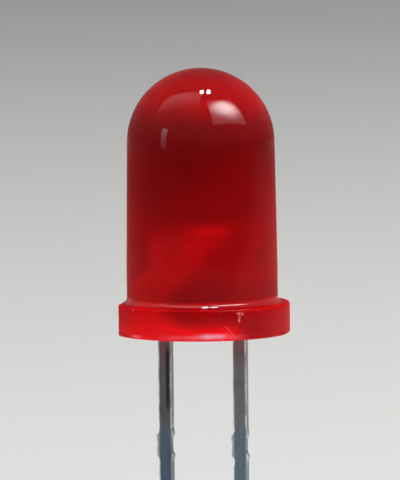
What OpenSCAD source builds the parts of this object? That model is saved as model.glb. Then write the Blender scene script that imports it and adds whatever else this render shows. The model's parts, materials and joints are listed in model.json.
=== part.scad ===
// Round 5 mm through-hole light-emitting diode with a diffused red epoxy body.
// Z runs up the optical axis. The origin is on the axis in the seating plane, which is the
// underside of the flange. The leads stand in the XZ plane, the cathode at -X and the anode at +X,
// and the flat on the flange marks the cathode side.

/* [Epoxy body] */
// Height of the dome's top above the seating plane
body_h = 8.9; // [8.2:0.1:10.5]
// Diameter of the barrel's straight land, where a panel clip grips it
barrel_d = 5.06; // [4.6:0.02:6]
// Height of that land above the flange
land_h = 1.2; // [0.8:0.1:3]
// How much the barrel narrows on each side from the land to the dome, for the mould to let go
draft = 0.06; // [0.02:0.01:0.15]

/* [Flange] */
// How far the flange stands out of the barrel
flange_rim = 0.4; // [0.36:0.01:0.7]
// Thickness of the flange
flange_h = 1.1; // [0.8:0.05:1.5]
// How far the cathode flat stands out of the barrel
flat_rim = 0.1; // [0.1:0.01:0.25]
// Radius of the flange's top edge
flange_top_round = 0.2; // [0.04:0.01:0.24]
// Radius of the flange's bottom edge
flange_bottom_round = 0.1; // [0.04:0.01:0.2]
// Radius of the fillet between barrel and flange, which ends short of the flat
root_fillet = 0.08; // [0.04:0.01:0.09]

/* [Leads] */
// Distance between the two leads, centre to centre
lead_pitch = 2.54; // [2.3:0.01:2.8]
// Width of a lead across the pitch
lead_w = 0.45; // [0.4:0.01:0.56]
// Thickness of the strip that the leads are stamped from
strip_t = 0.45; // [0.4:0.01:0.56]
// Length of the cathode lead under the seating plane
cathode_length = 25.4; // [6.5:0.1:30]
// Length of the anode lead under the seating plane
anode_length = 27; // [6.5:0.1:32]

/* [Tie bar stubs] */
// Depth of the sheared tie bar's upper edge under the seating plane
stub_depth = 3.35; // [2:0.05:4.5]
// Height of the sheared tie bar
stub_h = 0.86; // [0.6:0.02:1.2]
// How far a stub stands out of the lead's left side
stub_out = 0.08; // [0.03:0.01:0.2]
// How far the torn nibs stand out of the lead's right side
nib_out = 0.035; // [0.01:0.005:0.08]
// Height of each torn nib
nib_h = 0.2; // [0.1:0.01:0.26]
// Depth that the shearing punch has bitten into the anode's left side
bite_depth = 0.04; // [0.01:0.005:0.08]
// Height of each of those bites
bite_h = 0.26; // [0.1:0.01:0.4]

/* [Cathode anvil] */
// Height of the reflector cup's rim above the seating plane
cup_rim_z = 3.65; // [3.5:0.05:4.2]
// Outer diameter of the cup's head
cup_head_d = 1.44; // [1.36:0.02:1.6]
// Height of the head's straight rim
cup_band_h = 0.32; // [0.2:0.02:0.5]
// Height of the cone that carries the rim, whose point lies inside the strip
cup_cone_h = 0.9; // [0.7:0.05:1.2]
// Diameter of the cup's mouth
cup_mouth_d = 1.18; // [1:0.02:1.28]
// Diameter of the cup's floor
cup_floor_d = 0.64; // [0.58:0.02:0.9]
// Depth of the cup
cup_depth = 0.4; // [0.3:0.02:0.5]
// Depth of the anvil's shoulders below the cup's rim
shoulder_drop = 0.45; // [0.4:0.01:0.6]
// Height of the bevel at the outer shoulder
bevel_h = 0.7; // [0.3:0.05:1]
// Width of that bevel
bevel_w = 0.38; // [0.2:0.02:0.6]
// Height at which the anvil's slanted inner edge leaves the lead
anvil_foot_z = 1; // [0.6:0.05:1.4]
// Distance past the axis, on the anode's side, that the anvil reaches
anvil_end_x = 0.58; // [0.4:0.02:0.66]
// Height of the anvil's upright end there, between the slanted edge and the shoulder
anvil_end_h = 0.2; // [0.1:0.02:0.4]

/* [Anode post] */
// Depth of the post's top below the cup's rim
post_drop = 0.2; // [0.1:0.02:0.4]
// How far the post's anchor block stands in from the lead
block_out = 0.42; // [0.3:0.02:0.5]
// Height of the block's lower corner above the seating plane
block_z = 1.3; // [1.1:0.05:1.5]
// Height of the block's upright side
block_h = 0.55; // [0.3:0.05:0.7]
// Height of the bevels over and under the block
block_bevel_h = 0.35; // [0.2:0.05:0.5]

/* [Die and bond] */
// Side of the square die
die_w = 0.3; // [0.22:0.01:0.34]
// Height of the die
die_h = 0.22; // [0.15:0.01:0.3]
// How far the silver adhesive spreads past the die's corners
glue_rim = 0.04; // [0.02:0.005:0.05]
// Thickness of that adhesive
glue_t = 0.03; // [0.02:0.005:0.05]
// Diameter of the metal pad on the die
pad_d = 0.14; // [0.12:0.01:0.18]
// Thickness of the pad
pad_t = 0.015; // [0.01:0.005:0.03]
// Diameter of the bond wire
wire_d = 0.034; // [0.025:0.001:0.045]
// Diameter of the ball that bonds the wire to the pad
ball_d = 0.09; // [0.08:0.005:0.11]
// Height of that ball
ball_h = 0.05; // [0.03:0.005:0.06]
// Height above the cup's rim at which the wire starts to turn over
arch_h = 0.1; // [0.1:0.02:0.6]

/* [Hidden] */
$fn = 96;
over = 0.05;                 // how far a cutting or joining shape runs past the face it works on
barrel_r = barrel_d / 2;
dome_r = barrel_r - draft;
flange_r = barrel_r + flange_rim;
flat_x = barrel_r + flat_rim;
dome_z = body_h - dome_r;    // centre of the dome
land_top_z = flange_h + land_h;
lead_x = lead_pitch / 2;
stub_z = -stub_depth;

// The draft runs from the top of the land along the tangent to the dome.
land_to_dome = norm([barrel_r, land_top_z - dome_z]);
tangent_angle = atan2(land_top_z - dome_z, barrel_r) + acos(dome_r / land_to_dome);
tangent_r = dome_r * cos(tangent_angle);
tangent_z = dome_z + dome_r * sin(tangent_angle);

cup_floor_z = cup_rim_z - cup_depth;
cup_band_z = cup_rim_z - cup_band_h;
shoulder_z = cup_rim_z - shoulder_drop;
post_top_z = cup_rim_z - post_drop;
die_z = cup_floor_z + glue_t;
pad_z = die_z + die_h;
bond_z = pad_z + pad_t;
arch_z = cup_rim_z + arch_h;

red = [0.72, 0.02, 0.03];
steel = [0.62, 0.62, 0.63];
silver = [0.8, 0.8, 0.8];
crystal = [0.45, 0.3, 0.18];
gold = [0.9, 0.68, 0.25];

// A square corner with its point at the origin, whose quarter circle of radius r is kept: what is
// left is the waste that rounds a convex corner.
module corner_waste(r) {
    difference() {
        translate([-r, -r]) square([r + over, r + over]);
        translate([-r, -r]) circle(r);
    }
}

module flange_profile() {
    difference() {
        square([flange_r, flange_h]);
        translate([flange_r, flange_h]) corner_waste(flange_top_round);
        translate([flange_r, 0]) mirror([0, 1]) corner_waste(flange_bottom_round);
    }
}

module root_profile() {
    translate([barrel_r, flange_h]) difference() {
        translate([-over, -over]) square([root_fillet + over, root_fillet + over]);
        translate([root_fillet, root_fillet]) circle(root_fillet);
    }
}

module barrel_profile() {
    polygon([[0, 0], [barrel_r, 0], [barrel_r, land_top_z], [tangent_r, tangent_z], [0, tangent_z]]);
}

module dome_profile() {
    intersection() {
        translate([0, dome_z]) circle(dome_r);
        translate([0, tangent_z]) square([dome_r, dome_r]);
    }
}

// The epoxy's outer form, as if it held nothing.
module epoxy() {
    difference() {
        rotate_extrude() {
            flange_profile();
            root_profile();
            barrel_profile();
            dome_profile();
        }
        translate([-flange_r - flat_x, -flange_r, -over])
            cube([flange_r, 2 * flange_r, flange_h + 2 * over]);
    }
}

// Turns an outline drawn in X and Z into strip metal, centred on the XZ plane.
module stamped() {
    translate([0, strip_t / 2, 0]) rotate([90, 0, 0]) linear_extrude(strip_t) children();
}

// The left side of a lead, with x measured from the lead's centre: the stub of the tie bar, and
// the punch's bites above and below it.
function left_side(bite) = let (
    side = -lead_w / 2,
    slope = 0.1 * stub_h,
    low = stub_z - stub_h
) [
    [side, low - bite_h],
    [side + bite, low - bite_h / 2],
    [side + bite / 2, low],
    [side - stub_out, low + slope],
    [side - 0.7 * stub_out, low + stub_h / 2],
    [side - stub_out, stub_z - slope],
    [side + bite / 2, stub_z],
    [side + bite, stub_z + bite_h / 2],
    [side, stub_z + bite_h]
];

// The right side, from top to bottom: two torn nibs, with a hollow between them.
function right_side() = let (
    side = lead_w / 2,
    low = stub_z - stub_h
) [
    [side, stub_z + nib_h / 2],
    [side + nib_out, stub_z],
    [side + nib_out, stub_z - nib_h / 2],
    [side - nib_out, stub_z - nib_h],
    [side - nib_out, low + nib_h],
    [side + nib_out, low + nib_h / 2],
    [side + nib_out, low],
    [side, low - nib_h / 2]
];

function shifted(points, x) = [for (p = points) [p[0] + x, p[1]]];

module cup_head() {
    rotate_extrude() polygon([
        [0, cup_band_z - cup_cone_h],
        [cup_head_d / 2, cup_band_z],
        [cup_head_d / 2, cup_rim_z],
        [0, cup_rim_z]
    ]);
}

module cup_hollow() {
    rotate_extrude() polygon([
        [0, cup_floor_z],
        [cup_floor_d / 2, cup_floor_z],
        [cup_mouth_d / 2, cup_rim_z],
        [cup_mouth_d / 2, cup_rim_z + over],
        [0, cup_rim_z + over]
    ]);
}

module cathode_lead() {
    outer_x = -lead_x - lead_w / 2;
    inner_x = -lead_x + lead_w / 2;
    color(steel) difference() {
        union() {
            stamped() polygon(concat(
                [[outer_x, -cathode_length]],
                shifted(left_side(0), -lead_x),
                [
                    [outer_x, shoulder_z - bevel_h],
                    [outer_x + bevel_w, shoulder_z],
                    [anvil_end_x, shoulder_z],
                    [anvil_end_x, shoulder_z - anvil_end_h],
                    [inner_x, anvil_foot_z]
                ],
                shifted(right_side(), -lead_x),
                [[inner_x, -cathode_length]]
            ));
            cup_head();
        }
        cup_hollow();
    }
}

module anode_lead() {
    outer_x = lead_x + lead_w / 2;
    inner_x = lead_x - lead_w / 2;
    block_top_z = block_z + block_h;
    color(steel) stamped() polygon(concat(
        [[inner_x, -anode_length]],
        shifted(left_side(bite_depth), lead_x),
        [
            [inner_x, block_z - block_bevel_h],
            [inner_x - block_out, block_z],
            [inner_x - block_out, block_top_z],
            [inner_x, block_top_z + block_bevel_h],
            [inner_x, post_top_z],
            [outer_x, post_top_z]
        ],
        shifted(right_side(), lead_x),
        [[outer_x, -anode_length]]
    ));
}

module die_attach() {
    color(silver) translate([0, 0, cup_floor_z]) cylinder(r = die_w / sqrt(2) + glue_rim, h = glue_t);
}

module led_die() {
    color(crystal) translate([-die_w / 2, -die_w / 2, die_z]) cube([die_w, die_w, die_h]);
}

module die_bond_pad() {
    color(gold) translate([0, 0, pad_z]) cylinder(d = pad_d, h = pad_t);
}

// The wire rises straight out of the ball, turns over in a half circle and drops onto the middle
// of the post.
module bond_wire() {
    arc_r = lead_x / 2;
    color(gold) {
        translate([0, 0, bond_z]) cylinder(d = ball_d, h = ball_h);
        translate([0, 0, bond_z + ball_h]) cylinder(d = wire_d, h = arch_z - bond_z - ball_h);
        translate([lead_x, 0, post_top_z]) cylinder(d = wire_d, h = arch_z - post_top_z);
        translate([arc_r, 0, arch_z]) rotate([90, 0, 0])
            rotate_extrude(angle = 180) translate([arc_r, 0]) circle(d = wire_d);
    }
}

// What the epoxy is cast round.
module embedded() {
    cathode_lead();
    anode_lead();
    die_attach();
    led_die();
    die_bond_pad();
    bond_wire();
}

module lens_body() {
    color(red) difference() {
        epoxy();
        embedded();
    }
}

lens_body();
cathode_lead();
anode_lead();
die_attach();
led_die();
die_bond_pad();
bond_wire();
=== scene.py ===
"""A round 5 mm through-hole LED, dressed for the camera: cast red epoxy round a tinned lead frame."""
import json
import math

import bmesh
import bpy
from mathutils import Matrix, Vector, noise


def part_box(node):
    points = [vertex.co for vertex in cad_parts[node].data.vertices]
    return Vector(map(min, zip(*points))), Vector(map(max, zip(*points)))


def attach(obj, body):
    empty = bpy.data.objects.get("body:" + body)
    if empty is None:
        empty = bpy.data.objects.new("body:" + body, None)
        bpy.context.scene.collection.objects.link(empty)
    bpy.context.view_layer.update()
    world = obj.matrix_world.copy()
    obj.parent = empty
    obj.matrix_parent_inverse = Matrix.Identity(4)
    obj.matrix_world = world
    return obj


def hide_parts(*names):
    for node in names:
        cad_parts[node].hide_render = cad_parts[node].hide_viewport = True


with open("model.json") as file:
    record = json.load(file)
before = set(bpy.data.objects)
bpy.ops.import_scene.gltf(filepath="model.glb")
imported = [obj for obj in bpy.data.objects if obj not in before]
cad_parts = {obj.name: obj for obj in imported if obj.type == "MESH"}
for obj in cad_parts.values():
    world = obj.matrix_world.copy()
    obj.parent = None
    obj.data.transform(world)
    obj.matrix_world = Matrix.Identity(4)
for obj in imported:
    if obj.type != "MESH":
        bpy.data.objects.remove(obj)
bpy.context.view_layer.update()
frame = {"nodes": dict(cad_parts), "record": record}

MM = 0.001
nodes = frame["nodes"]
mounts = {m["name"]: m for m in frame["record"]["mounts"]}


# ---------------------------------------------------------------- sizes, in metres
# Most come from the frame. The barrel's land, the dome and the leads' width are what the solids
# were drawn with. The flange is 0.05 mm lower than theirs, because a fillet rises from it.

body_low, body_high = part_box("lens_body")
anode_low, anode_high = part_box("anode_lead")

FLANGE_R = body_high.x
FLANGE_H = 1.05 * MM
FLAT_X = body_low.x
BODY_TOP = body_high.z
BARREL_R = mounts["barrel"]["dims"]["r_mm"] * MM
LAND_TOP = 2.3 * MM
DOME_R = BARREL_R - 0.06 * MM
DOME_Z = BODY_TOP - DOME_R
CUP_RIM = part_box("cathode_lead")[1].z
DIE_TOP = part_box("led_die")[1].z
LEAD_X = mounts["anode_pin"]["pos_m"][0]
LEAD_W = 0.45 * MM
STRIP_T = anode_high.y - anode_low.y
# The leads are torn and worn between these heights, which is a little more than the stubs.
TORN_TOP = -2.9 * MM
TORN_BOTTOM = -4.65 * MM


# ---------------------------------------------------------------- camera

VIEW_AZIMUTH = 10
VIEW_ELEVATION = 5.0
VIEW_ROLL = -0.6
VIEW_DISTANCE = 0.22
VIEW_HEIGHT = 16.07 * MM
AIM = Vector((-0.06, 0, 3.13)) * MM
SENSOR = 36


def direction(azimuth, elevation):
    """The unit vector from the part towards a place round it. Azimuth 0 is at -Y, and 90 is at +X."""
    a, e = math.radians(azimuth), math.radians(elevation)
    return Vector((math.sin(a) * math.cos(e), -math.cos(a) * math.cos(e), math.sin(e)))


def place_camera():
    data = bpy.data.cameras.new("camera")
    data.sensor_width = SENSOR
    data.lens = SENSOR * VIEW_DISTANCE / VIEW_HEIGHT
    data.clip_start = 0.01
    data.clip_end = 10
    camera = bpy.data.objects.new("camera", data)
    bpy.context.scene.collection.objects.link(camera)
    back = direction(VIEW_AZIMUTH, VIEW_ELEVATION)
    facing = (-back).to_track_quat("-Z", "Y").to_matrix().to_4x4()
    camera.matrix_world = facing @ Matrix.Rotation(math.radians(VIEW_ROLL), 4, "Z")
    camera.location = AIM + back * VIEW_DISTANCE
    bpy.context.scene.camera = camera


place_camera()
bpy.context.scene.view_settings.view_transform = "Standard"


# ---------------------------------------------------------------- helpers for materials

def rgb(hex_colour):
    """Linear RGBA from an sRGB hex string."""
    def linear(c):
        return c / 12.92 if c <= 0.04045 else ((c + 0.055) / 1.055) ** 2.4
    return tuple(linear(int(hex_colour[i:i + 2], 16) / 255) for i in (0, 2, 4)) + (1,)


# Kinds of node with their settings, for add below.
PLUS = ("ShaderNodeMath", {"operation": "ADD"})
MINUS = ("ShaderNodeMath", {"operation": "SUBTRACT"})
TIMES = ("ShaderNodeMath", {"operation": "MULTIPLY"})
OVER = ("ShaderNodeMath", {"operation": "DIVIDE"})
SIZE = ("ShaderNodeMath", {"operation": "ABSOLUTE"})
LARGEST = ("ShaderNodeMath", {"operation": "MAXIMUM"})
POWER = ("ShaderNodeMath", {"operation": "POWER"})
ANGLE = ("ShaderNodeMath", {"operation": "ARCTAN2"})
FLOOR = ("ShaderNodeMath", {"operation": "FLOOR"})
COSINE = ("ShaderNodeMath", {"operation": "COSINE"})
SINE = ("ShaderNodeMath", {"operation": "SINE"})
VECTOR_MINUS = ("ShaderNodeVectorMath", {"operation": "SUBTRACT"})
VECTOR_TIMES = ("ShaderNodeVectorMath", {"operation": "MULTIPLY"})
VECTOR_SCALE = ("ShaderNodeVectorMath", {"operation": "SCALE"})
VECTOR_LENGTH = ("ShaderNodeVectorMath", {"operation": "LENGTH"})
# RISE takes a value and the two that it goes between, and then what it gives at each of them, if
# that isn't 0 and 1. The first of the two may be the larger.
RISE = ("ShaderNodeMapRange", {"interpolation_type": "SMOOTHSTEP"})
# These take a share, and then what they give where it is 0 and where it is 1.
MIX_NUMBERS = ("ShaderNodeMix", {"data_type": "FLOAT"})
MIX_COLOURS = ("ShaderNodeMix", {"data_type": "RGBA"})


def add(tree, kind, *values, **named):
    """Adds a node. kind is its type, or its type and its settings. values go to the inputs that it
    shows, in order, and named ones to the inputs of those names, with _ for a space. Each is a
    number, a colour, an output, or a node, which stands for its first output. Values left over go
    into another node of the same kind, after the result of this one."""
    kind, settings = kind if isinstance(kind, tuple) else (kind, {})
    node = tree.nodes.new(kind)
    for name, setting in settings.items():
        setattr(node, name, setting)
    shown = [socket for socket in node.inputs if socket.enabled]
    pairs = list(zip(shown, values))
    pairs += [(node.inputs[name.replace("_", " ")], value) for name, value in named.items()]
    for socket, value in pairs:
        if isinstance(value, bpy.types.Node):
            value = next(output for output in value.outputs if output.enabled)
        if isinstance(value, bpy.types.NodeSocket):
            tree.links.new(value, socket)
        else:
            socket.default_value = value
    left_over = values[len(shown):]
    return add(tree, (kind, settings), node, *left_over) if left_over else node


def new_material(name):
    material = bpy.data.materials.new(name)
    material.use_nodes = True
    material.node_tree.nodes.clear()
    return material, material.node_tree


def dress(obj, material):
    obj.data.materials.clear()
    obj.data.materials.append(material)


def millimetres(tree, stretch=(1, 1, 1)):
    """The place on the piece in millimetres, each axis times its stretch."""
    place = add(tree, "ShaderNodeTexCoord").outputs["Object"]
    return add(tree, VECTOR_TIMES, place, [1000 * s for s in stretch])


def soft_stroke(tree, unrolled, middle, turn, length, width):
    """A short soft-edged stroke on the unrolled surface, in millimetres and degrees."""
    laid = add(tree, ("ShaderNodeMapping", {"vector_type": "TEXTURE"}), Vector=unrolled,
               Location=(*middle, 0), Rotation=(0, 0, math.radians(turn)))
    along, across, _ = add(tree, "ShaderNodeSeparateXYZ", laid).outputs
    past_end = add(tree, LARGEST, add(tree, MINUS, add(tree, SIZE, along), length / 2), 0.0)
    away = add(tree, VECTOR_LENGTH, add(tree, "ShaderNodeCombineXYZ", past_end, across))
    return add(tree, RISE, away, width / 2, width / 6)


def painted_leak_glint(tree, round_body, z, middle, reach, height, depth, strength):
    """A painted glint for light that leaks out of the resin round a place: millimetres round the body,
    and up it.
    """
    round_it = add(tree, SIZE, add(tree, MINUS, round_body, middle))
    up_it = add(tree, SIZE, add(tree, MINUS, z, height))
    return add(tree, TIMES, add(tree, RISE, round_it, reach, 0.1 * reach),
               add(tree, RISE, up_it, depth, 0, 0, strength))


# ---------------------------------------------------------------- materials
# Places, lengths and a pattern's scale are in millimetres. Only a bump's distance is in metres.

# How brightly the resin glows, as painted light and shade up the body: a part of the body's height, and
# a level from 0 to 1.
PAINTED_GLOW_UP_THE_BODY = [
    (0.00, 0.98), (0.020, 1.00), (0.035, 0.93), (0.07, 0.69), (0.090, 0.60), (0.104, 0.57),
    (0.112, 0.51), (0.119, 0.52), (0.127, 0.82), (0.137, 0.77), (0.15, 0.60), (0.19, 0.605),
    (0.25, 0.63), (0.33, 0.61), (0.42, 0.605), (0.47, 0.575), (0.57, 0.540), (0.65, 0.515),
    (0.72, 0.490), (0.80, 0.500), (0.84, 0.565), (0.88, 0.610), (0.92, 0.585), (0.955, 0.55),
    (1.00, 0.43),
]
LOWEST_LEVEL = 0.1
LEVEL_TO_LIGHT = 2.25
GREEN_LET_THROUGH = 0.003
BLUE_LET_THROUGH = 0.008


def painted_glow_of_the_resin(tree, place, x, z):
    """The level of the painted glow inside the epoxy, which stands for its light and shade: its
    height's own, painted shade at the sides, and painted light where the lead frame inside throws light
    back."""
    painted_glow_ramp = add(tree, "ShaderNodeValToRGB", add(tree, OVER, z, BODY_TOP / MM))
    painted_glow_ramp.color_ramp.interpolation = "LINEAR"
    points = painted_glow_ramp.color_ramp.elements
    while len(points) < len(PAINTED_GLOW_UP_THE_BODY):
        points.new(0.5)
    for point, (part, level) in zip(points, PAINTED_GLOW_UP_THE_BODY):
        point.position = part
        point.color = (level, level, level, 1)

    # Painted shade darkens the sides, because the anvil inside is a flat plate that faces front and
    # back, and it darkens the flange's lower corner beside the cathode. Painted light brightens the
    # cathode's side, where the anvil is.
    to_side = add(tree, RISE, add(tree, SIZE, x), 1.6, 2.75)
    painted_side_shade = add(tree, TIMES, to_side, add(tree, RISE, z, 1.3, 0.1, 0.03, 0.3))
    painted_corner_shade = add(tree, TIMES, add(tree, RISE, x, -0.6, -2.4),
                      add(tree, RISE, z, 0.25, 0.05, 0, 0.32))
    painted_light_toward_anvil = add(tree, TIMES, x, -0.030)
    lost = add(tree, MINUS, painted_light_toward_anvil, add(tree, PLUS, painted_side_shade, painted_corner_shade))
    shaded = add(tree, PLUS, painted_glow_ramp, lost)

    # Painted shade makes the flange plainer on the anode's side, and painted light makes it brighter on
    # the cathode's.
    on_flange = add(tree, RISE, z, 1.25, 1.0)
    painted_plain_flange = add(tree, TIMES, add(tree, RISE, x, 1.2, 2.1), on_flange)
    painted_glow = add(tree, MIX_NUMBERS, painted_plain_flange, shaded, 0.57)
    slope = add(tree, PLUS, x, add(tree, TIMES, z, 1.2))
    painted_bright_flange = add(tree, TIMES, add(tree, RISE, slope, 0.9, -0.3), on_flange)
    painted_glow = add(tree, PLUS, painted_glow, add(tree, TIMES, painted_bright_flange, add(tree, RISE, z, 0.2, 0.8, 0.12, 0.20)))

    # The anvil inside, painted as a lighter patch of light with a slanted edge, and the cup's rim on
    # top of it painted as a line of light.
    slant = add(tree, MINUS, add(tree, TIMES, add(tree, MINUS, z, 3.6), 0.652),
                add(tree, TIMES, add(tree, MINUS, x, 1.28), 0.759))
    left_edge = add(tree, MINUS, -1.4, add(tree, RISE, z, 2.5, 1.6, 0, 0.9))
    painted_anvil_light = add(tree, TIMES, add(tree, RISE, slant, -0.38, 0.38), add(tree, RISE, z, 4.15, 3.05),
                add(tree, RISE, add(tree, MINUS, x, left_edge), -0.35, 0.35),
                add(tree, RISE, z, 1.1, 1.4, 0, 0.15))
    from_rim = add(tree, SIZE, add(tree, MINUS, z, 3.64))
    painted_cup_rim_light = add(tree, TIMES, add(tree, RISE, from_rim, 0.32, 0.0), add(tree, RISE, x, -0.5, 0.6),
              add(tree, RISE, x, 1.5, 1.05, 0, 0.12))

    # The diffuser in the resin isn't mixed in quite evenly, which leaves clouds about 1 mm across.
    cloud = add(tree, "ShaderNodeTexNoise", Vector=place, Scale=0.9, Detail=2.0, Roughness=0.5)
    clouds = add(tree, TIMES, add(tree, MINUS, cloud, 0.5), 0.10)
    return add(tree, PLUS, add(tree, PLUS, painted_glow, clouds), add(tree, PLUS, painted_anvil_light, painted_cup_rim_light))


def cast_red_epoxy():
    """Diffused epoxy resin cast in a polished mould. The eye gets a deep red with a wet gloss. Light
    and shade inside the resin are painted into its colour: dark in the thick of the barrel, brighter
    where the lead frame inside throws light back, and brightest at the flange's lower rim, where
    painted glints stand for the light that leaks out. Dust and a few scuffs show on the gloss."""
    material, tree = new_material("cast_red_epoxy")
    place = millimetres(tree)
    x, y, z = add(tree, "ShaderNodeSeparateXYZ", place).outputs

    # A level as the eye judges it becomes an amount of light. The red lets hardly any other through.
    painted_glow = painted_glow_of_the_resin(tree, place, x, z)
    red = add(tree, POWER, add(tree, LARGEST, painted_glow, LOWEST_LEVEL), LEVEL_TO_LIGHT)
    resin = add(tree, "ShaderNodeCombineColor", red, add(tree, TIMES, red, GREEN_LET_THROUGH),
                add(tree, TIMES, red, BLUE_LET_THROUGH))

    # The surface laid flat: millimetres round the flange from its front, and up the body.
    turn = add(tree, ANGLE, x, add(tree, TIMES, y, -1))
    round_body = add(tree, TIMES, turn, FLANGE_R / MM)
    unrolled = add(tree, "ShaderNodeCombineXYZ", X=round_body, Y=z)

    # Dust is drawn 0.02 to 0.045 mm across, coarser than most of it is, so that it shows. There is
    # at most one speck in each 1.25 mm cell.
    cells = add(tree, ("ShaderNodeTexVoronoi", {"voronoi_dimensions": "2D"}), Vector=unrolled,
                Scale=0.8)
    pick, faint, _ = add(tree, "ShaderNodeSeparateColor", cells.outputs["Color"]).outputs
    speck_r = add(tree, MIX_NUMBERS, faint, 0.008, 0.018)
    dust = add(tree, TIMES, add(tree, RISE, cells.outputs["Distance"], speck_r, 0.004),
               add(tree, RISE, pick, 0.45, 1.0))

    # A scratch, a scuff with a tail, and a nick on the flange. The scuffs break up into marks of
    # about 0.07 mm, as coarse as they need to be to show.
    scratch = soft_stroke(tree, unrolled, (1.414, 0.35), -46, 0.42, 0.028)
    graze = soft_stroke(tree, unrolled, (1.80, 0.90), -8, 0.16, 0.13)
    tail = soft_stroke(tree, unrolled, (1.77, 0.76), 82, 0.22, 0.10)
    nick = soft_stroke(tree, unrolled, (-2.15, 0.98), 12, 0.10, 0.04)
    grit = add(tree, "ShaderNodeTexNoise", Vector=place, Scale=14.0, Detail=3.0)
    scuffs = add(tree, TIMES, add(tree, LARGEST, graze, tail, nick), add(tree, RISE, grit, 0.26, 0.62))
    wear = add(tree, LARGEST, add(tree, TIMES, scratch, 0.22), add(tree, TIMES, scuffs, 0.36),
               add(tree, TIMES, dust, 0.4))

    # Painted glints stand for light that has run down inside the resin and leaks out pale at the
    # flange's lower rim. They come and go along the rim about every 0.4 mm.
    painted_leak_glints = add(tree, LARGEST, painted_leak_glint(tree, round_body, z, 0.85, 0.75, 0.16, 0.14, 1.0),
                painted_leak_glint(tree, round_body, z, 0.5, 1.9, 0.13, 0.12, 0.3),
                painted_leak_glint(tree, round_body, z, -2.0, 0.35, 0.11, 0.07, 0.45))
    ripple = add(tree, ("ShaderNodeTexNoise", {"noise_dimensions": "1D"}), W=round_body, Scale=2.6,
                 Detail=2.0)
    painted_leak_glints = add(tree, TIMES, painted_leak_glints, add(tree, RISE, ripple, 0.3, 0.6, 0.55, 1.0))
    colour = add(tree, MIX_COLOURS, wear, resin, rgb("FFC4CE"))
    colour = add(tree, MIX_COLOURS, add(tree, TIMES, painted_leak_glints, 0.75), colour, rgb("FFC9E0"))

    # The mould is polished best at the dome and at the fillet above the flange, and a little low on
    # the flange's side. The barrel rubs on it coming out.
    on_dome = add(tree, RISE, z, 5.8, 7.2, 0.16, 0.54)
    on_fillet = add(tree, RISE, add(tree, SIZE, add(tree, MINUS, z, 1.14)), 0.085, 0.07)
    gloss = add(tree, LARGEST, on_dome, on_fillet, add(tree, RISE, z, 0.9, 0.7, 0, 0.18))
    # Its polish swells a little, about every 1 mm, so the lamps' edges waver in it.
    swell = add(tree, "ShaderNodeTexNoise", Vector=place, Scale=1.1, Detail=1.0)
    polish = add(tree, "ShaderNodeBump", Strength=0.25, Distance=0.00003, Height=swell)
    worn = add(tree, "ShaderNodeBump", Strength=0.6, Distance=0.00001, Height=wear, Normal=polish)
    shader = add(tree, "ShaderNodeBsdfPrincipled",
                 Base_Color=colour, Roughness=0.3, IOR=1.53, Specular_IOR_Level=0.0, Normal=worn,
                 Subsurface_Weight=1.0, Subsurface_Radius=(1.0, 0.02, 0.02), Subsurface_Scale=0.0015,
                 Coat_Weight=gloss, Coat_Roughness=0.03, Coat_IOR=1.6, Coat_Normal=worn)
    add(tree, "ShaderNodeOutputMaterial", Surface=shader)
    return material


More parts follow.
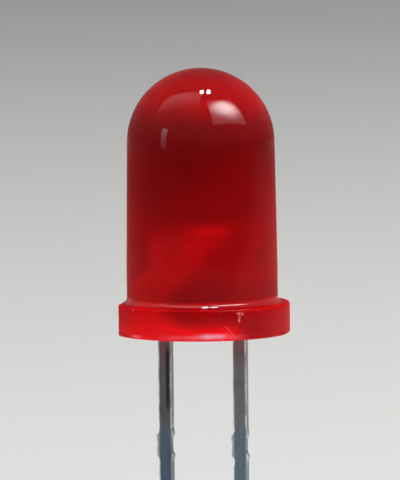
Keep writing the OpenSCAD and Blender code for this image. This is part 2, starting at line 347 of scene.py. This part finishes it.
def tinned_steel():
    """Steel strip, rolled, stamped and dipped in tin. The eye gets a dull grey with faint lines along
    the lead, a painted dark reflection down the cathode, brighter edges that are partly rubbed and
    partly painted highlight, pale torn metal where the tie bar was sheared off with a painted shadow
    beside it, and a bluer grey from there down, where the leads were dipped a second time."""
    material, tree = new_material("tinned_steel")
    x, y, z = add(tree, "ShaderNodeSeparateXYZ", millimetres(tree)).outputs
    across = add(tree, MINUS, add(tree, SIZE, x), LEAD_X / MM)
    from_middle = add(tree, SIZE, across)
    half_width = LEAD_W / MM / 2

    # Rolling lines are drawn about 0.06 mm apart and 1.5 mm long, coarser than the real ones, so
    # that they show. The tin is mottled in patches of about 0.4 mm by 1 mm, and its grain of about
    # 0.045 mm is coarser than the real one too.
    lines = add(tree, "ShaderNodeTexNoise", Vector=millimetres(tree, (1, 1, 0.04)), Scale=16.0,
                Detail=3.0, Roughness=0.6)
    mottle = add(tree, "ShaderNodeTexNoise", Vector=millimetres(tree, (1, 1, 0.4)), Scale=2.6,
                 Detail=4.0, Roughness=0.6)
    grain = add(tree, "ShaderNodeTexNoise", Vector=millimetres(tree), Scale=22.0, Detail=3.0)

    # The dull body of the strip: the cathode's is darker, with a painted dark reflection as a stripe
    # down its upper part.
    on_anode = add(tree, RISE, x, -0.2, 0.2)
    above = add(tree, MIX_COLOURS, on_anode, rgb("6A676C"), rgb("7F7C7F"))
    below = add(tree, MIX_COLOURS, on_anode, rgb("5E7182"), rgb("6F838E"))
    # The blue fades out further down, where the solder is thicker and a plainer grey.
    below = add(tree, MIX_COLOURS, add(tree, RISE, z, -5.2, -9.0), below, rgb("85888C"))
    ragged_z = add(tree, PLUS, z, add(tree, TIMES, mottle, 0.5))
    dull = add(tree, MIX_COLOURS, add(tree, RISE, ragged_z, -2.6, -3.1), above, below)
    # The leads are tinted red just below the epoxy.
    red_tint_below_epoxy = add(tree, TIMES, add(tree, RISE, z, -1.4, -0.1),
                     add(tree, RISE, lines, 0.35, 0.65, 0.4, 1.0))
    dull = add(tree, MIX_COLOURS, red_tint_below_epoxy, dull, rgb("87525A"))
    from_reflection_stripe = add(tree, SIZE, add(tree, PLUS, across, 0.095))
    painted_dark_reflection = add(tree, TIMES, add(tree, RISE, x, 0.0, -0.2), add(tree, RISE, z, -0.3, -0.7),
                add(tree, RISE, z, -2.9, -2.2), add(tree, RISE, from_reflection_stripe, 0.075, 0.035))

    # The paler edges of the front, the outer ones more than the inner, partly rubbed tin and partly
    # painted highlight, and specks of thicker tin.
    near_front = add(tree, RISE, y, -0.10, -0.17)
    outer_edge = add(tree, RISE, across, half_width - 0.065, half_width - 0.035)
    inner_edge = add(tree, RISE, across, 0.065 - half_width, 0.035 - half_width, 0, 0.8)
    rubbed_and_highlit_edges = add(tree, TIMES, add(tree, PLUS, outer_edge, inner_edge), near_front,
                 add(tree, RISE, mottle, 0.38, 0.62, 0.30, 0.95))
    specks = add(tree, TIMES, add(tree, RISE, grain, 0.66, 0.72, 0, 0.8),
                 add(tree, RISE, mottle, 0.45, 0.6))

    # The torn metal where the tie bar was, and a painted shadow in a line beside it.
    from_stub = add(tree, SIZE, add(tree, MINUS, z, (TORN_TOP + TORN_BOTTOM) / 2 / MM))
    at_stub = add(tree, RISE, from_stub, 0.62, 0.42)
    torn = add(tree, TIMES, at_stub,
               add(tree, RISE, from_middle, half_width - 0.04, half_width + 0.01))
    crests = add(tree, TIMES, torn, add(tree, RISE, grain, 0.36, 0.62, 0.3, 1.0))
    from_painted_shadow = add(tree, SIZE, add(tree, MINUS, from_middle, half_width - 0.035))
    painted_groove_shadow = add(tree, TIMES, at_stub, add(tree, RISE, from_painted_shadow, 0.022, 0.006),
                 add(tree, RISE, mottle, 0.4, 0.55, 0.3, 0.8))

    shade = add(tree, TIMES, add(tree, MIX_NUMBERS, lines, 0.72, 1.28),
                add(tree, MIX_NUMBERS, mottle, 0.75, 1.25), add(tree, MIX_NUMBERS, painted_dark_reflection, 1.0, 0.28),
                add(tree, MIX_NUMBERS, painted_groove_shadow, 1.0, 0.45))
    shaded = add(tree, VECTOR_SCALE, dull, shade)
    pale = add(tree, TIMES, add(tree, LARGEST, rubbed_and_highlit_edges, specks, crests), add(tree, MINUS, 1.0, painted_groove_shadow))
    colour = add(tree, MIX_COLOURS, pale, shaded, rgb("D9DDE0"))
    relief = add(tree, PLUS, add(tree, TIMES, lines, 0.5),
                 add(tree, TIMES, grain, add(tree, PLUS, 0.25, add(tree, TIMES, torn, 4.0))))
    bump = add(tree, "ShaderNodeBump", Strength=0.35, Distance=0.000006, Height=relief)
    roughness = add(tree, MIX_NUMBERS, torn, add(tree, MIX_NUMBERS, lines, 0.3, 0.46), 0.55)
    shader = add(tree, "ShaderNodeBsdfPrincipled", Base_Color=colour, Metallic=1.0,
                 Roughness=roughness, Normal=bump)
    add(tree, "ShaderNodeOutputMaterial", Surface=shader)
    return material


def silver_adhesive():
    """Epoxy filled with silver flake, which holds the die: a satin grey that glitters a little. The
    flakes are drawn 0.02 mm across, as large as the largest real ones."""
    material, tree = new_material("silver_adhesive")
    flake = add(tree, "ShaderNodeTexVoronoi", Vector=millimetres(tree), Scale=55.0).outputs["Color"]
    tone = add(tree, "ShaderNodeSeparateColor", flake)
    colour = add(tree, MIX_COLOURS, tone, rgb("8E8C88"), rgb("D3D0C9"))
    bump = add(tree, "ShaderNodeBump", Strength=0.4, Distance=0.000004, Height=tone)
    shader = add(tree, "ShaderNodeBsdfPrincipled", Base_Color=colour, Metallic=0.85,
                 Roughness=add(tree, MIX_NUMBERS, tone, 0.55, 0.32), Normal=bump)
    add(tree, "ShaderNodeOutputMaterial", Surface=shader)
    return material


def semiconductor():
    """The diced crystal: near black with a purplish sheen, glassy on top and sawn dull at the sides.
    The saw's marks are drawn 0.017 mm apart, coarser than the real ones."""
    material, tree = new_material("semiconductor")
    z = add(tree, "ShaderNodeSeparateXYZ", millimetres(tree)).outputs["Z"]
    saw = add(tree, "ShaderNodeTexNoise", Vector=millimetres(tree, (0.1, 0.1, 1)), Scale=60.0,
              Detail=2.0)
    top = add(tree, RISE, z, DIE_TOP / MM - 0.02, DIE_TOP / MM - 0.005)
    colour = add(tree, MIX_COLOURS, saw, rgb("26222B"), rgb("3B3542"))
    bump = add(tree, "ShaderNodeBump", Strength=0.3, Distance=0.000003, Height=saw)
    shader = add(tree, "ShaderNodeBsdfPrincipled", Base_Color=colour, IOR=3.4,
                 Roughness=add(tree, MIX_NUMBERS, top, 0.5, 0.12), Normal=bump)
    add(tree, "ShaderNodeOutputMaterial", Surface=shader)
    return material


def gold():
    """Fine gold, evaporated on the die and drawn into the bond wire: warm yellow, softly bright. Its
    grain is drawn 0.02 mm across, coarser than the real one."""
    material, tree = new_material("gold")
    grain = add(tree, "ShaderNodeTexNoise", Vector=millimetres(tree), Scale=45.0, Detail=3.0)
    colour = add(tree, MIX_COLOURS, grain, rgb("E8B04A"), rgb("FFD27A"))
    bump = add(tree, "ShaderNodeBump", Strength=0.2, Distance=0.000002, Height=grain)
    shader = add(tree, "ShaderNodeBsdfPrincipled", Base_Color=colour, Metallic=1.0,
                 Roughness=add(tree, MIX_NUMBERS, grain, 0.2, 0.36), Normal=bump)
    add(tree, "ShaderNodeOutputMaterial", Surface=shader)
    return material


EPOXY = cast_red_epoxy()
TIN = tinned_steel()
dress(nodes["die_attach"], silver_adhesive())
dress(nodes["led_die"], semiconductor())
GOLD = gold()
dress(nodes["die_bond_pad"], GOLD)
dress(nodes["bond_wire"], GOLD)


# ---------------------------------------------------------------- turned pieces

SAME_POINT = 1e-7


def arc(centre_r, centre_z, radius, start, end, steps):
    """Points along an arc of a profile, in degrees from the outward direction."""
    turns = [math.radians(start + (end - start) * i / steps) for i in range(steps + 1)]
    return [(centre_r + radius * math.cos(t), centre_z + radius * math.sin(t)) for t in turns]


def fillet_path(steps):
    """The fillet from the flange's top up into the barrel: a small round that is flatter where it
    leans halfway. Its radii are in millimetres, and its leanings from the upright in degrees."""
    round_r = 0.08
    flatter_by = 0.50
    flattest_at = 47.5
    spread = 7.0
    turn = math.pi / 2 / steps
    r = 0.0
    z = 0.0
    path = [(r, z)]
    for i in range(steps):
        leaning = math.pi / 2 - turn * (i + 0.5)
        off_flattest = (math.degrees(leaning) - flattest_at) / spread
        radius = (round_r + flatter_by * math.exp(-off_flattest ** 2)) * MM
        r -= radius * turn * math.sin(leaning)
        z += radius * turn * math.cos(leaning)
        path.append((r, z))
    width = -r
    return [(BARREL_R + width + r, FLANGE_H + z) for r, z in path]


def epoxy_profile():
    """Half the epoxy's section, from the middle of its underside to the dome's top. The barrel tapers
    to meet the dome without a crease. Long stretches have points in them, to keep the faces short."""
    bottom_round = 0.1 * MM
    top_round = 0.07 * MM
    taper_steps = 12
    reach = math.hypot(BARREL_R, LAND_TOP - DOME_Z)
    tangent = math.degrees(math.atan2(LAND_TOP - DOME_Z, BARREL_R) + math.acos(DOME_R / reach))
    dome = arc(0, DOME_Z, DOME_R, tangent, 90, 56)
    points = [(r * MM, 0) for r in (0, 0.4, 0.9, 1.5, 2.1, 2.5)]
    points += arc(FLANGE_R - bottom_round, bottom_round, bottom_round, -90, 0, 8)
    points += [(FLANGE_R, FLANGE_H * part) for part in (0.25, 0.5, 0.75)]
    points += arc(FLANGE_R - top_round, FLANGE_H - top_round, top_round, 0, 90, 8)
    points += fillet_path(30)
    points += [(BARREL_R, z * MM) for z in (1.4, 1.7, 2.0)]
    for i in range(taper_steps):
        t = i / taper_steps
        points.append((BARREL_R + (dome[0][0] - BARREL_R) * t,
                       LAND_TOP + (dome[0][1] - LAND_TOP) * t))
    return points + dome


def cup_profile():
    """Half the section of the cathode's head, in millimetres from the cup's rim: from the point where
    it meets the lead, up its outside, over the rim and down to the cup's floor."""
    points = [(0, -1.22), (0.72, -0.32), (0.72, -0.02), (0.70, 0), (0.61, 0), (0.59, -0.01),
              (0.32, -0.4), (0, -0.4)]
    return [(r * MM, CUP_RIM + z * MM) for r, z in points]


def turning_tree():
    """Geometry Nodes that turn a profile round the Z axis and cut a flat on the -X side."""
    tree = bpy.data.node_groups.new("turned_with_a_flat", "GeometryNodeTree")
    sockets = {}
    for name, kind in (("Profile", "Geometry"), ("Rings", "Int"), ("Steps Round", "Int"),
                       ("Flat Distance", "Float"), ("Sharp Angle", "Float"), ("Finish", "Material")):
        sockets[name] = tree.interface.new_socket(name, in_out="INPUT", socket_type="NodeSocket" + kind)
    tree.interface.new_socket("Turned", in_out="OUTPUT", socket_type="NodeSocketGeometry")
    given = add(tree, "NodeGroupInput").outputs

    # A grid has one row for each point of the profile, and its first and last columns will meet.
    steps = given["Steps Round"]
    columns = add(tree, PLUS, steps, 1)
    grid = add(tree, "GeometryNodeMeshGrid", Vertices_X=given["Rings"], Vertices_Y=columns)
    index = add(tree, "GeometryNodeInputIndex")
    ring = add(tree, FLOOR, add(tree, OVER, add(tree, PLUS, index, 0.5), columns))
    step = add(tree, MINUS, index, add(tree, TIMES, ring, columns))

    # Each row is wrapped round the axis at its point's radius and height, and stops at the flat.
    profile = add(tree, ("GeometryNodeSampleIndex", {"data_type": "FLOAT_VECTOR", "domain": "POINT"}),
                  Geometry=given["Profile"], Value=add(tree, "GeometryNodeInputPosition"), Index=ring)
    radius, _, height = add(tree, "ShaderNodeSeparateXYZ", profile).outputs
    angle = add(tree, TIMES, add(tree, OVER, step, steps), math.tau)
    flat = add(tree, TIMES, given["Flat Distance"], -1)
    x = add(tree, LARGEST, add(tree, TIMES, radius, add(tree, COSINE, angle)), flat)
    y = add(tree, TIMES, radius, add(tree, SINE, angle))
    wrapped = add(tree, "GeometryNodeSetPosition", Geometry=grid,
                  Position=add(tree, "ShaderNodeCombineXYZ", x, y, height))
    closed = add(tree, "GeometryNodeMergeByDistance", Geometry=wrapped, Distance=SAME_POINT)

    # It is shaded smooth, apart from the edges that bend sharply.
    smooth = add(tree, ("GeometryNodeSetShadeSmooth", {"domain": "FACE"}), Geometry=closed)
    bend = add(tree, "GeometryNodeInputMeshEdgeAngle").outputs["Unsigned Angle"]
    sharp = add(tree, ("FunctionNodeCompare", {"data_type": "FLOAT", "operation": "GREATER_THAN"}),
                bend, given["Sharp Angle"])
    creased = add(tree, ("GeometryNodeSetShadeSmooth", {"domain": "EDGE"}), Geometry=smooth,
                  Selection=sharp, Shade_Smooth=False)
    real = add(tree, "GeometryNodeRealizeInstances", Geometry=creased)
    finished = add(tree, "GeometryNodeSetMaterial", Geometry=real, Material=given["Finish"])
    add(tree, "NodeGroupOutput", finished)
    return tree, {name: socket.identifier for name, socket in sockets.items()}


def plain_mesh(obj, name):
    """Turns what an object's modifiers make into a plain mesh of its own."""
    depsgraph = bpy.context.evaluated_depsgraph_get()
    mesh = bpy.data.meshes.new_from_object(obj.evaluated_get(depsgraph))
    mesh.name = name
    obj.modifiers.clear()
    obj.data = mesh


def turned(name, profile, steps, flat, material):
    """A piece turned from its profile of (radius, height) points, which starts and ends on the axis."""
    mesh = bpy.data.meshes.new(name + "_profile")
    mesh.from_pydata([(r, 0, z) for r, z in profile],
                     [(i, i + 1) for i in range(len(profile) - 1)], [])
    obj = bpy.data.objects.new(name, mesh)
    bpy.context.scene.collection.objects.link(obj)
    modifier = obj.modifiers.new("turning", "NODES")
    modifier.node_group = TURNING
    sizes = {"Rings": len(profile), "Steps Round": steps, "Flat Distance": flat,
             "Sharp Angle": math.radians(25), "Finish": material}
    for key, value in sizes.items():
        modifier[TURNING_INPUTS[key]] = value
    plain_mesh(obj, name)
    return obj


TURNING, TURNING_INPUTS = turning_tree()
epoxy = turned("epoxy_body", epoxy_profile(), steps=240, flat=-FLAT_X, material=EPOXY)
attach(epoxy, "root")
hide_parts("lens_body")


# ---------------------------------------------------------------- leads

# How far apart the points along a lead's outline are, and how much closer at the torn stubs.
PLAIN_STEP = 0.16 * MM
TORN_STEP = 0.035 * MM
SHORTEST_STEP = 0.01 * MM
# In millimetres, how far the punch rolled the front edges over, how much further it did round the
# stubs, and how far it rolled the back ones.
FRONT_ROLL = 0.045
STUB_ROLL = 0.02
BACK_ROLL = 0.018
# In millimetres, how far a sheared edge strays in long waves, how much further a torn one does, and
# how far that strays in short ones.
SHEARED_WAVE = 0.003
TORN_WAVE = 0.006
TORN_RIPPLE = 0.012
# How long those waves are, the long and the short, and the pits in a torn face.
WAVE_LENGTH = 0.45 * MM
RIPPLE_LENGTH = 0.07 * MM
PIT_LENGTH = 0.09 * MM
# How far each point of a torn corner moves toward the middle of its neighbours, and how often.
ROUNDING = 0.6
ROUNDINGS = 2


def neighbours(points):
    """Each point of a closed outline, with the one before it and the one after it."""
    return zip(points[-1:] + points[:-1], points, points[1:] + points[:1])


def front_outline(node):
    """The outline, in X and Z, of a stamped lead's front face, anticlockwise as seen from the front."""
    bm = bmesh.new()
    bm.from_mesh(node.data)
    bmesh.ops.remove_doubles(bm, verts=bm.verts, dist=SAME_POINT)
    front = [f for f in bm.faces if all(abs(v.co.y + STRIP_T / 2) < 1e-6 for v in f.verts)]
    front_faces = set(front)
    following = {}
    for face in front:
        for loop in face.loops:
            if not any(f in front_faces for f in loop.edge.link_faces if f is not face):
                following[loop.vert] = loop.link_loop_next.vert
    start = min(following, key=lambda v: (v.co.z, v.co.x))
    vert = start
    outline = []
    while vert is not start or not outline:
        outline.append(Vector((vert.co.x, vert.co.z)))
        vert = following[vert]
    bm.free()
    return outline


def corners_only(outline):
    """Drops the points that lie on a straight line between their neighbours."""
    kept = []
    for before, point, after in neighbours(outline):
        turn = (point - before).cross(after - point)
        if abs(turn) > 1e-4 * (point - before).length * (after - point).length:
            kept.append(point)
    return kept


def in_stub(z):
    """1 where the tie bar was sheared off, and 0 away from it."""
    fade = 0.25 * MM
    return max(0.0, min(1.0, (TORN_TOP - z) / fade, (z - TORN_BOTTOM) / fade))


def worn_outline(corners, lead_x, seed):
    """Points along the outline, with its torn corners softened and its sheared sides a little ragged.
    The ends in the resin and at the lead's tip stay where they are."""
    margin = 0.3 * MM
    points = []
    for start, end in zip(corners, corners[1:] + corners[:1]):
        length = (end - start).length
        cuts = [0.0]
        while cuts[-1] < length:
            z = start.y + (end.y - start.y) * cuts[-1] / length
            near_stub = TORN_BOTTOM - margin < z < TORN_TOP + margin
            cuts.append(cuts[-1] + (TORN_STEP if near_stub else PLAIN_STEP))
        points += [start.lerp(end, cut / length) for cut in cuts if cut < length - SHORTEST_STEP]
    for _ in range(ROUNDINGS):
        points = [point.lerp((before + after) / 2, ROUNDING * in_stub(point.y))
                  for before, point, after in neighbours(points)]
    tip = points[0].y
    fade = 0.2 * MM
    ragged = []
    for point in points:
        # Each side of each lead has its own stretch of the noise.
        side = 1 if point.x > lead_x else -1
        stub = in_stub(point.y)
        ripple = noise.noise(Vector((side * 7 + seed, point.y / RIPPLE_LENGTH, seed)))
        wave = noise.noise(Vector((side * 5 - seed, point.y / WAVE_LENGTH, seed)))
        in_air = max(0.0, min(1.0, -point.y / fade, (point.y - tip) / fade))
        strays = TORN_RIPPLE * stub * ripple + (SHEARED_WAVE + TORN_WAVE * stub) * wave
        ragged.append(Vector((point.x + strays * MM * in_air, point.y)))
    return ragged


def inset_and_depth(kind, value, point, lead_x, seed):
    """How far inside the outline, and at what Y, one layer of a lead passes a point of the outline."""
    stub = in_stub(point.y)
    if kind == "front":
        # Only what stands out past the lead's own sides is dragged further.
        beyond = max(0.0, abs(point.x - lead_x) - LEAD_W / 2 + 0.01 * MM) / (0.04 * MM)
        roll = (FRONT_ROLL + STUB_ROLL * stub * min(1.0, beyond)) * MM
        return roll * (1 - math.sin(value)), -STRIP_T / 2 + roll * (1 - math.cos(value))
    if kind == "back":
        roll = BACK_ROLL * MM
        return roll * (1 - math.sin(value)), STRIP_T / 2 - roll * (1 - math.cos(value))
    pits = noise.noise(Vector((value * 9, point.y / PIT_LENGTH, seed)))
    return max(TORN_WAVE * MM * stub * pits, 0.0), -STRIP_T / 2 + STRIP_T * value


def lead_mesh(points, lead_x, seed):
    """Joins an outline's layers, from the front of the strip to its back, into a closed mesh."""
    layers = [("front", math.radians(turn)) for turn in (0, 22.5, 45, 67.5, 90)]
    layers += [("side", 0.35), ("side", 0.65)]
    layers += [("back", math.radians(turn)) for turn in (90, 60, 30, 0)]
    inward = []
    for before, _, after in neighbours(points):
        along = (after - before).normalized()
        inward.append(Vector((-along.y, along.x)))
    bm = bmesh.new()
    rings = []
    for kind, value in layers:
        ring = []
        for point, into in zip(points, inward):
            inset, y = inset_and_depth(kind, value, point, lead_x, seed)
            spot = point + into * inset
            ring.append(bm.verts.new((spot.x, y, spot.y)))
        rings.append(ring)
    for front, back in zip(rings, rings[1:]):
        for i in range(len(points)):
            j = (i + 1) % len(points)
            bm.faces.new((front[j], front[i], back[i], back[j])).smooth = True
    caps = [bm.faces.new(rings[0]), bm.faces.new(list(reversed(rings[-1])))]
    bmesh.ops.recalc_face_normals(bm, faces=bm.faces)
    # The triangles come out right only when the outline is some metres in size.
    bmesh.ops.scale(bm, vec=(1 / MM, 1 / MM, 1 / MM), verts=bm.verts)
    bmesh.ops.triangulate(bm, faces=caps, ngon_method="BEAUTY")
    bmesh.ops.scale(bm, vec=(MM, MM, MM), verts=bm.verts)
    return bm


def stamped_lead(name, node, lead_x, seed, material):
    """A lead lofted through its thickness. The punch has rolled the front edges over and left the
    back ones sharper, and it has dragged the edge round the stubs further."""
    bm = lead_mesh(worn_outline(corners_only(front_outline(node)), lead_x, seed), lead_x, seed)
    for edge in bm.edges:
        if len(edge.link_faces) == 2 and edge.calc_face_angle(0) > math.radians(50):
            edge.smooth = False
    mesh = bpy.data.meshes.new(name)
    bm.to_mesh(mesh)
    bm.free()
    obj = bpy.data.objects.new(name, mesh)
    bpy.context.scene.collection.objects.link(obj)
    dress(obj, material)
    return obj


cathode = stamped_lead("cathode_strip", nodes["cathode_lead"], -LEAD_X, seed=3.7, material=TIN)
anode = stamped_lead("anode_strip", nodes["anode_lead"], LEAD_X, seed=8.2, material=TIN)
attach(cathode, "root")
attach(anode, "root")
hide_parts("anode_lead")

# A flat this far from the axis cuts nothing off.
NO_FLAT = 1.0
head = turned("reflector_cup", cup_profile(), steps=96, flat=NO_FLAT, material=TIN)
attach(head, "root")
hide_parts("cathode_lead")


# ---------------------------------------------------------------- studio

FLOOR_R = 4
FLOOR_GAP = 0.01 * MM
ROOM_LIGHT = 0.21


def lay_floor():
    mesh = bpy.data.meshes.new("floor")
    bm = bmesh.new()
    bmesh.ops.create_circle(bm, cap_ends=True, segments=64, radius=FLOOR_R)
    bmesh.ops.translate(bm, verts=bm.verts, vec=(0, 0, anode_low.z - FLOOR_GAP))
    bm.to_mesh(mesh)
    bm.free()
    floor = bpy.data.objects.new("floor", mesh)
    bpy.context.scene.collection.objects.link(floor)
    material, tree = new_material("pale_paper")
    shader = add(tree, "ShaderNodeBsdfPrincipled", Base_Color=rgb("D5D5D3"), Roughness=1.0,
                 Specular_IOR_Level=0.0)
    add(tree, "ShaderNodeOutputMaterial", Surface=shader)
    dress(floor, material)


def light_the_room():
    world = bpy.data.worlds.new("soft_room")
    world.use_nodes = True
    background = world.node_tree.nodes["Background"]
    background.inputs["Color"].default_value = rgb("FFFFFF")
    background.inputs["Strength"].default_value = ROOM_LIGHT
    bpy.context.scene.world = world


def area_light(name, towards, distance, faces, up, width, height, radiance):
    """A lamp at a distance from the dome. radiance is how bright its face looks, 1 being white."""
    data = bpy.data.lights.new(name, "AREA")
    data.shape = "RECTANGLE"
    data.size = width
    data.size_y = height
    data.energy = radiance * math.pi * width * height
    light = bpy.data.objects.new(name, data)
    bpy.context.scene.collection.objects.link(light)
    z_axis = -Vector(faces).normalized()
    x_axis = Vector(up).cross(z_axis).normalized()
    y_axis = z_axis.cross(x_axis)
    light.matrix_world = Matrix((x_axis, y_axis, z_axis)).transposed().to_4x4()
    light.location = Vector((0, 0, DOME_Z)) + Vector(towards).normalized() * distance
    light.visible_camera = False
    return light


def hot_spot(light, middle, reach, peak, breadth):
    """Makes a lamp's face brighter round a place on it, as a bulb behind a diffuser does. middle and
    reach are parts of the face, peak is how many times brighter than the rest the middle is, and
    breadth is how many times wider than high the bright place is."""
    light.data.use_nodes = True
    tree = light.data.node_tree
    place = add(tree, "ShaderNodeNewGeometry").outputs["Parametric"]
    from_middle = add(tree, VECTOR_MINUS, place, (*middle, 0))
    away = add(tree, VECTOR_LENGTH, add(tree, VECTOR_TIMES, from_middle, (1 / breadth, 1, 0)))
    brightness = add(tree, ("ShaderNodeMapRange", {"interpolation_type": "SMOOTHERSTEP"}),
                     away, 0.0, reach, peak, 1.0)
    tree.links.new(brightness.outputs["Result"], tree.nodes["Emission"].inputs["Strength"])


lay_floor()
light_the_room()

key = area_light("key_softbox", towards=(0.605, -0.196, 0.772), distance=0.60,
                 faces=(-0.686, 0.708, -0.165), up=(-0.088, 0.144, 0.986),
                 width=0.508, height=0.520, radiance=1.17)
hot_spot(key, middle=(0.485, 0.52), reach=0.53, peak=17, breadth=1.22)

panel = area_light("left_panel", towards=(-0.512, -0.197, 0.837), distance=0.60,
                   faces=(0.164, 0.922, -0.352), up=(0.017, 0.354, 0.935),
                   width=0.688, height=0.676, radiance=0.065)
hot_spot(panel, middle=(0.62, 0.71), reach=0.6, peak=20, breadth=2.0)

strip = area_light("left_strip", towards=(-0.73, -0.60, 0.15), distance=0.50,
                   faces=(0.73, 0.60, -0.15), up=(0, 0, 1),
                   width=0.085, height=0.20, radiance=0.85)
hot_spot(strip, middle=(0.5, 0.9), reach=0.8, peak=2.8, breadth=3.0)

CEILING_LAMP = {"distance": 0.5, "faces": (0, 0, -1), "width": 0.037, "height": 0.070, "radiance": 42}
area_light("lamp_1", towards=(0.038, -0.024, 0.999), up=(-0.18, 0.98, 0), **CEILING_LAMP)
area_light("lamp_2", towards=(0.168, 0.021, 0.986), up=(-0.25, 0.97, 0), **CEILING_LAMP)
